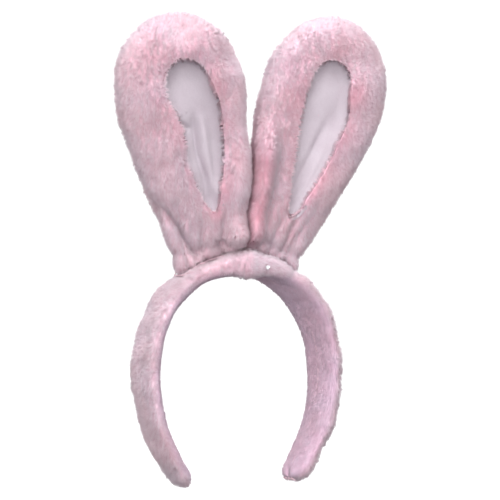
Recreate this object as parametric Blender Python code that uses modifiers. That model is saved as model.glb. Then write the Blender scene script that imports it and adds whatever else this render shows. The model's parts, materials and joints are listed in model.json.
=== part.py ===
"""Plush rabbit-ear headband: a springy hoop in a padded plush tube, with two stuffed and wired ears sewn on top.

Frame: the origin is on the hoop's inner face at the top, where it rests on the head. +Z is up, the front faces -Y,
and +X is to the right as seen from the front. Lengths are in metres and angles in radians.
"""

import math

import bmesh
import bpy
import numpy as np
from mathutils import Matrix, Vector
from mathutils.geometry import interpolate_bezier

GAP = 0.0003  # kept between pieces that touch
FRONT = -1  # the sign of Y on the front side

# Hoop, along its centreline: an arc over the crown, then a flatter arc down each side to the tip.
CROWN_RADIUS = 0.065
CROWN_TURN = math.radians(83)
SIDE_RADIUS = 0.100
TIP_TURN = math.radians(133)
SHOULDER_TURN = math.radians(52)  # where each side's springing open is lumped in one hinge

COVER_WIDTH = 0.032
COVER_THICKNESS = 0.0115
COVER_WALL = 0.0015
COVER_SQUARENESS = 2.6  # exponent of the oval section
COVER_POINTS = 16
TIP_ROUNDING = 0.009
CORE_WIDTH = 0.020
CORE_THICKNESS = 0.0018
CORE_SQUARENESS = 6
CORE_TIP_SETBACK = 0.006  # from the wadding's end

# Ears. Heights are along the ear, from where its middle meets the cover.
EAR_LENGTH = 0.158
EAR_STRETCH = {"left": 1, "right": 1.07}  # the right ear is stuffed a little longer
EAR_WIDTH = 0.086
EAR_BASE_WIDTH = 0.041
EAR_THICKNESS = 0.034
EAR_WIDEST_HEIGHT = 0.108
EAR_SINK = 0.009  # how far the base runs down the curved cover at its ends
EAR_WALL = 0.0016
EAR_EDGE = 0.0028  # half the thickness of the ear's edge, at its seam
SEAM_GAP = 0.0024  # between the plush of the front and of the back, along that seam
EAR_MIDDLE = 0.095  # the height that the ear's outlines are measured round
EAR_PIECE_POINTS = 5  # on each of the outline's three curves
EAR_SEAT_OFFSET = {"left": 0.001962, "right": -0.000647}  # of the base's inner end from the crown's middle
EAR_SPLAY = {"left": math.radians(13), "right": math.radians(18)}
EAR_LEAN = math.radians(6)  # towards the front
EAR_TOE = {"left": math.radians(-7), "right": math.radians(-6)}
EAR_PARTING = 0.0006  # between the two ears, at the middle
TILT_AXIS_RISE = 0.0088  # of the ears' tilt axis over the top of the cover

PANEL_WIDTH = 0.036
PANEL_BOTTOM = 0.031
PANEL_TOP = 0.131
PANEL_WIDEST_HEIGHT = 0.098
PANEL_WALL = 0.0012
PANEL_CLEARANCE = 0.0016  # from the border's edge to the panel's, with the seam thread between them
RECESS = 0.45  # the share of the ear's front bulge that the panel loses
RECESS_SLOPE = 0.008

WIRE_RADIUS = 0.001
WIRE_INSET = 0.011
WIRE_SPREAD_HEIGHT = 0.024  # where the wire reaches the ear's edge
STUFFING_GAP = 0.0024
THINNEST_STUFFING = 0.0006  # half its thickness at the ear's edge
FOOT_SPREAD = 0.014
THREAD_RADIUS = 0.0003
STITCHES = 6  # on each side of an ear's base
STITCH_REACH = 0.0025
STITCH_OFFSET = 0.0065  # from the ear's middle to the nearer ends of its base stitches
GATHER_HEIGHT = 0.017
GATHER_CLEARANCE = 0.0014  # the thread lies in the pile
GATHER_POINTS = 20
KNOT_RADIUS = 0.0014
KNOT_PLACE = 0.0115  # along the hoop from its top

SIDES = {"left": -1, "right": 1}

CENTRE_HEIGHT = COVER_THICKNESS / 2
OUTER_RADIUS = CROWN_RADIUS + COVER_THICKNESS / 2
TILT_AXIS_HEIGHT = COVER_THICKNESS + TILT_AXIS_RISE
SHOULDER = CROWN_RADIUS * SHOULDER_TURN
TIP = CROWN_RADIUS * CROWN_TURN + SIDE_RADIUS * (TIP_TURN - CROWN_TURN)
WADDING_INSET = COVER_WALL + GAP
CORE_TIP = TIP - WADDING_INSET - CORE_TIP_SETBACK

PINK_PLUSH = ("pink_plush", (0.90, 0.62, 0.66), 0.95)
PALE_VELOUR = ("pale_velour", (0.88, 0.80, 0.86), 0.9)
WADDING = ("polyester_wadding", (0.92, 0.92, 0.90), 1.0)
PLASTIC = ("hoop_plastic", (0.88, 0.86, 0.84), 0.4)
WIRE = ("coated_wire", (0.85, 0.85, 0.86), 0.35)
THREAD = ("pink_thread", (0.85, 0.55, 0.60), 0.7)
CLEAR_THREAD = ("clear_thread", (0.93, 0.93, 0.95), 0.15)


def clear_scene():
    for thing in list(bpy.data.objects):
        bpy.data.objects.remove(thing)


def new_collection(name):
    group = bpy.data.collections.new(name)
    bpy.context.scene.collection.children.link(group)
    return group


def material(finish):
    name, colour, roughness = finish
    found = bpy.data.materials.get(name)
    if found:
        return found
    made = bpy.data.materials.new(name)
    made.use_nodes = True
    shader = made.node_tree.nodes["Principled BSDF"]
    shader.inputs["Base Color"].default_value = (*colour, 1)
    shader.inputs["Roughness"].default_value = roughness
    shader.inputs["Metallic"].default_value = 0
    return made


def place(name, data, finish, parent=None):
    """A part of the object, hung on its joint's empty where it moves."""
    made = bpy.data.objects.new(name, data)
    parts.objects.link(made)
    made.data.materials.append(material(finish))
    if parent:
        made.parent = parent
        made.matrix_parent_inverse = Matrix.Translation(parent.location).inverted()
    return made


def cutter(name, data):
    made = bpy.data.objects.new(name, data)
    cutters.objects.link(made)
    made.hide_render = True
    made.display_type = "WIRE"
    return made


def pivot(name, location):
    made = bpy.data.objects.new(name, None)
    parts.objects.link(made)
    made.location = location
    return made


def cut(body, *tools):
    for tool in tools:
        modifier = body.modifiers.new("cut by " + tool.name, "BOOLEAN")
        modifier.operation = "DIFFERENCE"
        modifier.object = tool


def mesh_from(shape, name):
    bmesh.ops.recalc_face_normals(shape, faces=shape.faces)
    data = bpy.data.meshes.new(name)
    shape.to_mesh(data)
    shape.free()
    data.shade_smooth()
    data.set_sharp_from_angle(angle=math.radians(50))
    return data


def loft(name, rings, closed=False):
    """A skin over rings of points. It joins its last ring to its first if closed, and otherwise caps both ends."""
    shape = bmesh.new()
    loops = [[shape.verts.new(point) for point in ring] for ring in rings]
    if not closed:
        shape.faces.new(loops[0])
        shape.faces.new(reversed(loops[-1]))
    following = loops[1:] + (loops[:1] if closed else [])
    for first, second in zip(loops, following):
        for index in range(len(first)):
            shape.faces.new((first[index - 1], first[index], second[index], second[index - 1]))
    return mesh_from(shape, name)


def cord(name, points, radius, closed=False):
    """A round wire or thread through points, as a mesh."""
    data = bpy.data.curves.new(name, "CURVE")
    data.dimensions = "3D"
    data.bevel_depth = radius
    data.bevel_resolution = 1
    data.use_fill_caps = True
    spline = data.splines.new("POLY")
    spline.points.add(len(points) - 1)
    for place_on, point in zip(spline.points, points):
        place_on.co = (*point, 1)
    spline.use_cyclic_u = closed
    return data


def solid_cord(name, points, radius):
    """The same as a closed mesh, for cutting with."""
    guide = bpy.data.objects.new(name, cord(name, points, radius))
    cutters.objects.link(guide)
    bpy.context.view_layer.update()
    evaluated = guide.evaluated_get(bpy.context.evaluated_depsgraph_get())
    shape = bmesh.new()
    shape.from_mesh(bpy.data.meshes.new_from_object(evaluated))
    bmesh.ops.remove_doubles(shape, verts=shape.verts, dist=radius / 100)
    bpy.data.objects.remove(guide)
    return mesh_from(shape, name)


def oval(half_width, half_thickness, squareness):
    """Points round a superellipse, as (across, out) pairs."""
    points = []
    for index in range(COVER_POINTS):
        angle = 2 * math.pi * (index + 0.5) / COVER_POINTS
        across = math.copysign(abs(math.cos(angle)) ** (2 / squareness), math.cos(angle))
        out = math.copysign(abs(math.sin(angle)) ** (2 / squareness), math.sin(angle))
        points.append((half_width * across, half_thickness * out))
    return points


def hoop_frame(length):
    """The centreline's point, direction and outward normal at a length from the top, positive towards +X."""
    side = math.copysign(1, length)
    turn = min(abs(length) / CROWN_RADIUS, CROWN_TURN)
    end = turn + (abs(length) - CROWN_RADIUS * turn) / SIDE_RADIUS
    across = CROWN_RADIUS * math.sin(turn) + SIDE_RADIUS * (math.sin(end) - math.sin(turn))
    down = CROWN_RADIUS * (1 - math.cos(turn)) + SIDE_RADIUS * (math.cos(turn) - math.cos(end))
    point = Vector((side * across, 0, CENTRE_HEIGHT - down))
    direction = Vector((math.cos(end), 0, -side * math.sin(end)))
    normal = Vector((side * math.sin(end), 0, math.cos(end)))
    return point, direction, normal


def on_hoop(length, across, out):
    """A point beside the centreline: across is towards the back, out is away from the head."""
    point, _, normal = hoop_frame(length)
    return point + Vector((0, across, 0)) + out * normal


def spaced(start, end, pieces):
    return [start + (end - start) * index / pieces for index in range(pieces + 1)]


def band_ring(length, half_width, half_thickness, squareness):
    return [on_hoop(length, across, out) for across, out in oval(half_width, half_thickness, squareness)]


def crown_rings(half_width, half_thickness, squareness):
    return [band_ring(length, half_width, half_thickness, squareness) for length in spaced(-SHOULDER, SHOULDER, 12)]


def arm_rings(side, tip, rounding, half_width, half_thickness, squareness):
    """Rings from the shoulder to a rounded tip."""
    start = SHOULDER + GAP
    rings = []
    for length in spaced(start, tip - rounding, 9):
        rings.append(band_ring(side * length, half_width, half_thickness, squareness))
    for angle in (30, 55, 75):
        bend = math.radians(angle)
        length = tip - rounding * (1 - math.sin(bend))
        shrink = math.cos(bend)
        rings.append(band_ring(side * length, half_width * shrink, half_thickness * shrink, squareness))
    return rings


def cover_size(inset):
    return COVER_WIDTH / 2 - inset, COVER_THICKNESS / 2 - inset, COVER_SQUARENESS


def core_size(growth):
    return CORE_WIDTH / 2 + growth, CORE_THICKNESS / 2 + growth, CORE_SQUARENESS


def make_crown(feet):
    """The middle of the band, with holes where the ears' wires come in."""
    cover = loft("band_cover_crown", crown_rings(*cover_size(0)) + crown_rings(*cover_size(COVER_WALL))[::-1], True)
    cut(place("band_cover_crown", cover, PINK_PLUSH), *feet)
    hollow = crown_rings(*core_size(GAP))[::-1]
    wadding = loft("band_wadding_crown", crown_rings(*cover_size(WADDING_INSET)) + hollow, True)
    cut(place("band_wadding_crown", wadding, WADDING), *feet)
    place("band_core_crown", loft("band_core_crown", crown_rings(*core_size(0))), PLASTIC)
    seam = [on_hoop(length, 0, -seam_depth()) for length in spaced(-SHOULDER, SHOULDER, 12)]
    place("band_seam_crown", cord("band_seam_crown", seam, THREAD_RADIUS), THREAD)


def seam_depth():
    """How far inside the centreline the cover's seam thread runs."""
    return COVER_THICKNESS / 2 + GAP + THREAD_RADIUS


def make_arm(name, side, shoulder):
    """One side of the band, from the shoulder down to its rounded tip."""
    outer = arm_rings(side, TIP, TIP_ROUNDING, *cover_size(0))
    inner = arm_rings(side, TIP - COVER_WALL, TIP_ROUNDING, *cover_size(COVER_WALL))
    cover = loft("band_cover_arm_" + name, outer[::-1] + inner)
    place("band_cover_arm_" + name, cover, PINK_PLUSH, shoulder)

    outer = arm_rings(side, TIP - WADDING_INSET, TIP_ROUNDING, *cover_size(WADDING_INSET))
    inner = arm_rings(side, CORE_TIP + GAP, CORE_WIDTH / 4, *core_size(GAP))
    wadding = loft("band_wadding_arm_" + name, outer[::-1] + inner)
    place("band_wadding_arm_" + name, wadding, WADDING, shoulder)

    core = loft("band_core_arm_" + name, arm_rings(side, CORE_TIP, CORE_WIDTH / 4, *core_size(0)))
    place("band_core_arm_" + name, core, PLASTIC, shoulder)

    lengths = spaced(SHOULDER + GAP, TIP - TIP_ROUNDING, 9)
    seam = [on_hoop(side * length, 0, -seam_depth()) for length in lengths]
    place("band_seam_arm_" + name, cord("band_seam_arm_" + name, seam, THREAD_RADIUS), THREAD, shoulder)

    reach = COVER_WIDTH / 5
    across = spaced(-reach, reach, 7)
    beyond = TIP + GAP + THREAD_RADIUS
    stitches = []
    for index, offset in enumerate(across):
        out = STITCH_REACH / 2 * (-1) ** index
        stitches.append(on_hoop(side * beyond, offset, out))
    place("end_stitches_" + name, cord("end_stitches_" + name, stitches, THREAD_RADIUS), THREAD, shoulder)


def bezier_outline(knots, count):
    """Points along a chain of Bezier pieces. A knot is its point, the handle before it and the handle after it."""
    points = []
    for (start, _, leaving), (end, arriving, _) in zip(knots, knots[1:]):
        piece = interpolate_bezier(Vector(start), Vector(leaving), Vector(arriving), Vector(end), count + 1)
        points += [(point[0], point[1]) for point in piece[:-1]]
    return points + [knots[-1][0]]


def ear_outline():
    """Half of the ear seen from the front, from the bottom to the top, as (half width, height)."""
    wide, base = EAR_WIDTH / 2, EAR_BASE_WIDTH / 2
    widest, top = EAR_WIDEST_HEIGHT, EAR_LENGTH
    belly = (base + (wide - base) * 0.3, widest * 0.37)
    return bezier_outline(
        (
            ((0, -EAR_SINK), None, (base * 0.9, -EAR_SINK)),
            ((base, 0), (base * 0.95, -EAR_SINK / 2), belly),
            ((wide, widest), (wide, widest * 0.74), (wide, widest + (top - widest) * 0.58)),
            ((0, top), (wide * 0.54, top), None),
        ),
        EAR_PIECE_POINTS,
    )


def panel_outline():
    """Half of the inner panel, pointed at the bottom and round at the top, as (half width, height)."""
    wide, widest = PANEL_WIDTH / 2, PANEL_WIDEST_HEIGHT
    bottom, top = PANEL_BOTTOM, PANEL_TOP
    return bezier_outline(
        (
            ((0, bottom), None, (wide * 0.5, bottom + (widest - bottom) * 0.15)),
            ((wide, widest), (wide, bottom + (widest - bottom) * 0.65), (wide, widest + (top - widest) * 0.6)),
            ((0, top), (wide * 0.6, top), None),
        ),
        8,
    )


def polar(outline):
    """A half outline as angles from straight down and distances, both from the ear's middle."""
    angles = [math.atan2(across, EAR_MIDDLE - height) for across, height in outline]
    return angles, [math.hypot(across, height - EAR_MIDDLE) for across, height in outline]


def reach(outline, angle):
    """How far the outline is from the ear's middle at an angle from straight down."""
    angles, distances = polar(outline)
    return float(np.interp(abs(angle), angles, distances))


def smoothstep(share):
    share = min(max(share, 0), 1)
    return share * share * (3 - 2 * share)


def ear_depth(across, height, hollowed):
    """The ear's half thickness at a point seen from the front, less the panel's hollow if it is hollowed."""
    angle = math.atan2(across, EAR_MIDDLE - height)
    distance = math.hypot(across, height - EAR_MIDDLE)
    share = min(distance / reach(ear_outline(), angle), 1)
    depth = EAR_EDGE + (EAR_THICKNESS / 2 - EAR_EDGE) * math.sqrt(1 - share * share)
    if hollowed:
        inside = reach(panel_outline(), angle) - distance
        depth *= 1 - RECESS * smoothstep(0.5 + inside / (2 * RECESS_SLOPE))
    return depth


def ear_angles():
    """Angles round the ear's middle, from straight down and all the way round."""
    half = polar(ear_outline())[0]
    return half + [-angle for angle in half[-2:0:-1]]


def ear_ring(start, end, share, facing, depth=None):
    """A ring on the ear between two outlines, each a function from angle to distance."""
    ring = []
    for angle in ear_angles():
        distance = start(angle) + (end(angle) - start(angle)) * share
        across, height = distance * math.sin(angle), EAR_MIDDLE - distance * math.cos(angle)
        deep = ear_depth(across, height, facing == FRONT) if depth is None else depth
        ring.append(Vector((across, facing * deep, height)))
    return ring


def ear_edge(angle):
    return reach(ear_outline(), angle)


def panel_edge(angle):
    return reach(panel_outline(), angle)


def opening_edge(angle):
    return panel_edge(angle) + PANEL_CLEARANCE


def middle(_):
    return 0


def back_rings():
    """From the middle of the ear's back out to the seam."""
    shares = [math.sin(math.radians(angle)) for angle in (15, 35, 55, 72, 90)]
    rings = [ear_ring(middle, ear_edge, share, -FRONT) for share in shares]
    return rings + [ear_ring(middle, ear_edge, 1, -FRONT, SEAM_GAP / 2)]


def border_rings():
    """From the seam over the puffy border to the edge of its opening."""
    shares = [math.cos(math.radians(angle)) for angle in (0, 25, 45, 65, 90)]
    rings = [ear_ring(opening_edge, ear_edge, share, FRONT) for share in shares]
    return [ear_ring(middle, ear_edge, 1, FRONT, SEAM_GAP / 2)] + rings


def panel_rings():
    return [ear_ring(middle, panel_edge, share, FRONT) for share in (1, 0.6, 0.25)]


def ear_seat(name):
    """The length along the hoop where an ear's middle is sewn on."""
    return SIDES[name] * (EAR_BASE_WIDTH / 2 + EAR_SEAT_OFFSET[name])


def ear_place(name):
    """The matrix of an ear's own frame: X across it, Y towards its back, Z up along it."""
    side = SIDES[name]
    seat = on_hoop(ear_seat(name), 0, COVER_THICKNESS / 2)
    turn = Matrix.Rotation(side * EAR_SPLAY[name], 4, "Y") @ Matrix.Rotation(EAR_LEAN, 4, "X")
    turn = turn @ Matrix.Rotation(EAR_TOE[name], 4, "Z")
    return Matrix.Translation(seat) @ turn @ Matrix.Diagonal((1, 1, EAR_STRETCH[name], 1))


def settled(point, side, inset=0):
    """The point moved clear of the other ear, and below the tilt axis kept on a roll that turns over the cover."""
    across = max(side * point.x, EAR_PARTING / 2 + inset)
    cover_top = CENTRE_HEIGHT - CROWN_RADIUS + math.sqrt(max(OUTER_RADIUS**2 - across**2, 0))
    room = TILT_AXIS_HEIGHT - cover_top - GAP - inset
    arm = Vector((point.y, point.z - TILT_AXIS_HEIGHT))
    if arm.y < 0 and arm.length > room:
        arm *= room / arm.length
    return Vector((side * across, arm.x, TILT_AXIS_HEIGHT + arm.y))


def ear_skin(name, rings, caps, inset=0):
    """The rings of an ear joined into a skin in its place, with n-gon caps on the ends named."""
    frame = ear_place(name)
    shape = bmesh.new()
    loops = [[shape.verts.new(settled(frame @ point, SIDES[name], inset)) for point in ring] for ring in rings]
    for first, second in zip(loops, loops[1:]):
        for index in range(len(first)):
            shape.faces.new((first[index - 1], first[index], second[index], second[index - 1]))
    for end in caps:
        shape.faces.new(loops[end] if end else reversed(loops[end]))
    return shape


def ear_shell(label, name, rings, caps, wall, finish, tilt):
    """A skin of the ear given its wall, on its inner side."""
    shape = ear_skin(name, rings, caps)
    piece = place(label, mesh_from(shape, label), finish, tilt)
    thicken = piece.modifiers.new("wall", "SOLIDIFY")
    thicken.thickness = wall
    thicken.offset = -1


def drawn_in(point, inset):
    """A point of the ear's skin moved inwards, in the ear's own frame."""
    angle = math.atan2(point.x, EAR_MIDDLE - point.z)
    distance = math.hypot(point.x, point.z - EAR_MIDDLE) * (1 - inset / ear_edge(angle))
    deep = math.copysign(max(abs(point.y) - inset, THINNEST_STUFFING), point.y)
    return Vector((distance * math.sin(angle), deep, EAR_MIDDLE - distance * math.cos(angle)))


def ear_stuffing(label, name):
    """The ear's whole skin, drawn in by the plush's wall."""
    inset = EAR_WALL + STUFFING_GAP
    rings = []
    for ring in back_rings()[:-1] + border_rings()[2:] + panel_rings():
        rings.append([drawn_in(point, inset) for point in ring])
    return mesh_from(ear_skin(name, rings, (0, -1), inset), label)


def ear_wire(name, extension):
    """The wire's points: up from beside its feet, round inside the ear's edge, and down again."""
    frame = ear_place(name)
    half = [(FOOT_SPREAD / 2, TILT_AXIS_RISE)]
    if extension:
        half.insert(0, (FOOT_SPREAD / 2, TILT_AXIS_RISE - extension))
    for angle in polar(ear_outline())[0]:
        distance = ear_edge(angle) - WIRE_INSET
        across, height = distance * math.sin(angle), EAR_MIDDLE - distance * math.cos(angle)
        if height > WIRE_SPREAD_HEIGHT:
            half.append((across, height))
    right = [Vector((across, 0, height)) for across, height in half]
    left = [Vector((-across, 0, height)) for across, height in half[-2::-1]]
    return [frame @ point for point in right + left]


def foot_path(name):
    """The wire's ends, folded along the hoop's core and up through the cover, on the ear's middle."""
    seat = ear_seat(name)
    lying = CORE_THICKNESS / 2 + GAP + WIRE_RADIUS
    top = COVER_THICKNESS / 2 - GAP
    lengths = spaced(seat - FOOT_SPREAD / 2, seat + FOOT_SPREAD / 2, 4)
    path = [on_hoop(length, 0, lying) for length in lengths]
    return [on_hoop(lengths[0], 0, top)] + path + [on_hoop(lengths[-1], 0, top)]


def make_foot(name):
    """The foot, and the channel for it in the wadding and the cover."""
    path = foot_path(name)
    place("ear_" + name + "_wire_foot", cord("ear_" + name + "_wire_foot", path, WIRE_RADIUS), WIRE)
    first, last = path[0], path[-1]
    long_path = [first + (first - path[1])] + path[1:-1] + [last + (last - path[-2])]
    return cutter("foot channel " + name, solid_cord("foot channel " + name, long_path, WIRE_RADIUS + GAP))


def make_ear(name, tilt):
    """One ear: plush back and border, velour panel, stuffing, wire and threads."""
    frame = ear_place(name)
    label = "ear_" + name + "_"
    ear_shell(label + "back_panel", name, back_rings(), (0,), EAR_WALL, PINK_PLUSH, tilt)
    ear_shell(label + "front_border", name, border_rings(), (), EAR_WALL, PINK_PLUSH, tilt)
    ear_shell(label + "inner_panel", name, panel_rings(), (-1,), PANEL_WALL, PALE_VELOUR, tilt)

    stuffing = place(label + "stuffing", ear_stuffing(label + "stuffing", name), WADDING, tilt)
    channel = solid_cord("wire channel " + name, ear_wire(name, 2 * TILT_AXIS_RISE), WIRE_RADIUS + GAP)
    cut(stuffing, cutter("wire channel " + name, channel))
    place(label + "wire", cord(label + "wire", ear_wire(name, 0), WIRE_RADIUS), WIRE, tilt)

    seam = []
    for point in ear_ring(panel_edge, opening_edge, 0.5, FRONT):
        seam.append(frame @ point)
    place(label + "panel_seam", cord(label + "panel_seam", seam, THREAD_RADIUS, True), THREAD, tilt)

    outline = ear_outline()
    off = GATHER_CLEARANCE + THREAD_RADIUS
    width = float(np.interp(GATHER_HEIGHT, [point[1] for point in outline], [point[0] for point in outline]))
    gather = []
    for angle in spaced(0, 2 * math.pi, GATHER_POINTS)[:-1]:
        across = width * math.cos(angle)
        deep = math.copysign(ear_depth(across, GATHER_HEIGHT, False) + off, math.sin(angle))
        gather.append(frame @ Vector((across + off * math.cos(angle), deep, GATHER_HEIGHT)))
    place(label + "gather_thread", cord(label + "gather_thread", gather, THREAD_RADIUS, True), THREAD, tilt)


def make_base_stitches(name):
    """A whip stitch on the cover: along the front of an ear's base, round its outer end, and back behind it."""
    seat = abs(ear_seat(name))
    half = EAR_BASE_WIDTH / 2
    lengths = spaced(seat - half * 0.8, seat + half * 0.95, 2 * STITCHES)
    height = COVER_THICKNESS / 2 + GAP + THREAD_RADIUS
    path = []
    for facing, along in ((FRONT, lengths), (-FRONT, lengths[::-1])):
        for index, length in enumerate(along):
            across = STITCH_OFFSET + STITCH_REACH * (index % 2)
            path.append(on_hoop(SIDES[name] * length, facing * across, height))
    place("ear_" + name + "_base_stitches", cord("ear_" + name + "_base_stitches", path, THREAD_RADIUS), THREAD)


def make_knot():
    """The small thread knot at the cover's front edge, between the ears."""
    shape = bmesh.new()
    bmesh.ops.create_uvsphere(shape, u_segments=10, v_segments=6, radius=KNOT_RADIUS)
    centre = on_hoop(KNOT_PLACE, FRONT * (COVER_WIDTH / 2 + GAP + KNOT_RADIUS), 0)
    bmesh.ops.translate(shape, vec=centre, verts=shape.verts)
    place("thread_knot", mesh_from(shape, "thread_knot"), CLEAR_THREAD)


def make_headband():
    feet = [make_foot(name) for name in SIDES]
    make_crown(feet)
    make_knot()
    for name, side in SIDES.items():
        shoulder = pivot("shoulder_" + name, on_hoop(side * (SHOULDER + GAP / 2), 0, COVER_THICKNESS / 2))
        make_arm(name, side, shoulder)
        seat = on_hoop(ear_seat(name), 0, COVER_THICKNESS / 2)
        tilt = pivot("tilt_" + name, Vector((seat.x, 0, TILT_AXIS_HEIGHT)))
        make_ear(name, tilt)
        make_base_stitches(name)


clear_scene()
parts = new_collection("rabbit_ears_headband")
cutters = new_collection("cutters")
make_headband()
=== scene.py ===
"""Looks of the rabbit-ear headband: plush ears and band with a pile of tufts, velour panels, threads and light.

Lengths are in metres and angles in radians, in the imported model's frame. The hoop and the ears repeat the CAD part's
shapes. The panels' openings differ from its plain ovals: they shift to one side, and pile bulges over them.
"""

import json
import math

import bpy
import numpy as np
from mathutils import Matrix, Vector


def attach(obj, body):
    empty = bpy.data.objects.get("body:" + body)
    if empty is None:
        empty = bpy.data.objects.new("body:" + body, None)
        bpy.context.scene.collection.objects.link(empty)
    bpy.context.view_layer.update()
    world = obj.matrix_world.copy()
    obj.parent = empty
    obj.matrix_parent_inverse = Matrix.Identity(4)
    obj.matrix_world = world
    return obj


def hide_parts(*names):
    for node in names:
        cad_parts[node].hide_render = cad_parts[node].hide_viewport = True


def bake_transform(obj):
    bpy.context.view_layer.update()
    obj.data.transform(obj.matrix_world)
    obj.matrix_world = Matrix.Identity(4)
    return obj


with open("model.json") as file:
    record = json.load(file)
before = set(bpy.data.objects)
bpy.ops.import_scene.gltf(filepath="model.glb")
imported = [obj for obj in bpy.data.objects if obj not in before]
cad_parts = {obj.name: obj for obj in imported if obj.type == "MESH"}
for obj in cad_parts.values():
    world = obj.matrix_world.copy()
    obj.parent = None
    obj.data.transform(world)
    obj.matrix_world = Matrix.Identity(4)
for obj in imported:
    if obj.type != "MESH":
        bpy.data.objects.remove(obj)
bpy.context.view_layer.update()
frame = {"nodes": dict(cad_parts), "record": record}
random = np.random.default_rng(11)
SIDES = {"left": -1, "right": 1}

# The hoop and its cover, as in the part.
CROWN_RADIUS = 0.065
CROWN_TURN = math.radians(83)
SIDE_RADIUS = 0.100
TIP_TURN = math.radians(133)
COVER_WIDTH = 0.032
COVER_THICKNESS = 0.0115
COVER_SQUARENESS = 2.6
TIP_ROUNDING = 0.009
KNOT_RADIUS = 0.0014
KNOT_PLACE = 0.0115
CENTRE_HEIGHT = COVER_THICKNESS / 2
OUTER_RADIUS = CROWN_RADIUS + COVER_THICKNESS / 2
TIP = CROWN_RADIUS * CROWN_TURN + SIDE_RADIUS * (TIP_TURN - CROWN_TURN)

# The ears, as in the part. Heights are along the ear, from where its middle meets the cover.
EAR_LENGTH = 0.158
EAR_STRETCH = {"left": 1, "right": 1.07}
EAR_WIDTH = 0.086
EAR_BASE_WIDTH = 0.041
EAR_THICKNESS = 0.034
EAR_WIDEST_HEIGHT = 0.108
EAR_SINK = 0.009
EAR_EDGE = 0.0028
EAR_MIDDLE = 0.095
EAR_SEAT_OFFSET = {"left": 0.001962, "right": -0.000647}  # of the base's inner end from the crown's middle
EAR_SPLAY = {"left": math.radians(13), "right": math.radians(18)}
EAR_LEAN = math.radians(6)
EAR_TOE = {"left": math.radians(-7), "right": math.radians(-6)}
EAR_PARTING = 0.0006
TILT_AXIS_HEIGHT = COVER_THICKNESS + 0.0088
ROLL_GAP = 0.0003

PANEL_WIDTH = 0.036
PANEL_BOTTOM = 0.031
PANEL_TOP = 0.129
PANEL_WIDEST_HEIGHT = 0.096
# How far the panel is off the ear's middle line towards +X, at its bottom and at its top.
PANEL_SHIFT = {"left": (0.0070, 0.0005), "right": (0.0012, -0.0018)}
# How far the pile bulges over the panel's -X side, at what height, and over what reach.
PANEL_SQUEEZE = {"left": (0.0068, 0.085, 0.018), "right": (0.0042, 0.072, 0.034)}
RECESS = 0.45
RECESS_SLOPE = 0.008

# The pile.
EAR_INSET = 0.0024  # of the cloth under the pile from the CAD surface
BAND_INSET = 0.0016
LINING_INSET = 0.0009  # the same, on the band's inner face
EAR_PILE = 0.0034
BAND_PILE = 0.0032
LINING_PILE = 0.0014  # on the band's inner face
TUFT_RADIUS = 0.00021
STREAK = (1.15, 1.15, 0.5)  # squeezes the clumps into streaks that run up and down
MOST_TRIANGLES = 196000  # in one piece


# ---------------------------------------------------------------- shapes


def smoothstep(share):
    share = np.clip(share, 0, 1)
    return share * share * (3 - 2 * share)


def bump(value, centre, width):
    return np.exp(-(((value - centre) / width) ** 2))


def unit(vectors):
    return vectors / np.maximum(np.linalg.norm(vectors, axis=-1, keepdims=True), 1e-12)


class Ripple:
    """Smooth noise about one wavelength wide: a sum of waves in random directions, between about -1 and 1."""

    def __init__(self, wavelength, waves=22):
        self.ways = unit(random.normal(size=(waves, 3))) * (2 * math.pi / wavelength)
        self.ways *= random.uniform(0.65, 1.45, (waves, 1))
        self.phases = random.uniform(0, 2 * math.pi, waves)
        self.share = 1.6 / math.sqrt(waves)

    def at(self, points):
        return np.sin(points @ self.ways.T + self.phases).sum(-1) * self.share

    def slope(self, points):
        """The gradient, scaled to about unit length."""
        steep = np.cos(points @ self.ways.T + self.phases)
        mean = np.linalg.norm(self.ways, axis=1).mean()
        return steep @ self.ways * self.share / mean


def bezier(knots, count=40):
    """Points along a chain of Bezier pieces. A knot is its point, the handle before it and the one after it."""
    along = np.linspace(0, 1, count, endpoint=False)[:, None]
    pieces = []
    for (start, _, leaving), (end, arriving, _) in zip(knots, knots[1:]):
        a, b, c, d = (np.array(point) for point in (start, leaving, arriving, end))
        one = (1 - along) ** 3 * a + 3 * (1 - along) ** 2 * along * b
        pieces.append(one + 3 * (1 - along) * along**2 * c + along**3 * d)
    return np.vstack(pieces + [np.array(knots[-1][0])[None]])


def ear_half():
    wide, base = EAR_WIDTH / 2, EAR_BASE_WIDTH / 2
    widest, top = EAR_WIDEST_HEIGHT, EAR_LENGTH
    belly = (base + (wide - base) * 0.3, widest * 0.37)
    return bezier(
        (
            ((0, -EAR_SINK), None, (base * 0.9, -EAR_SINK)),
            ((base, 0), (base * 0.95, -EAR_SINK / 2), belly),
            ((wide, widest), (wide, widest * 0.74), (wide, widest + (top - widest) * 0.58)),
            ((0, top), (wide * 0.54, top), None),
        )
    )


def panel_half():
    wide, widest = PANEL_WIDTH / 2, PANEL_WIDEST_HEIGHT
    bottom, top = PANEL_BOTTOM, PANEL_TOP
    over = (wide, widest + (top - widest) * 0.6)
    return bezier(
        (
            ((0, bottom), None, (wide * 0.5, bottom + (widest - bottom) * 0.15)),
            ((wide, widest), (wide, bottom + (widest - bottom) * 0.65), over),
            ((0, top), (wide * 0.6, top), None),
        )
    )


def full(half):
    """A half outline and its mirror image, all the way round from the bottom, anticlockwise from the front."""
    return np.vstack([half, half[-2:0:-1] * (-1, 1)])


def panel_outline(name):
    outline = full(panel_half())
    squeeze, centre, reach = PANEL_SQUEEZE[name]
    room = smoothstep(-outline[:, 0] / (PANEL_WIDTH / 4))
    outline[:, 0] += squeeze * bump(outline[:, 1], centre, reach) * room
    outline[:, 0] += np.interp(outline[:, 1], (PANEL_BOTTOM, PANEL_TOP), PANEL_SHIFT[name])
    return outline


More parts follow.
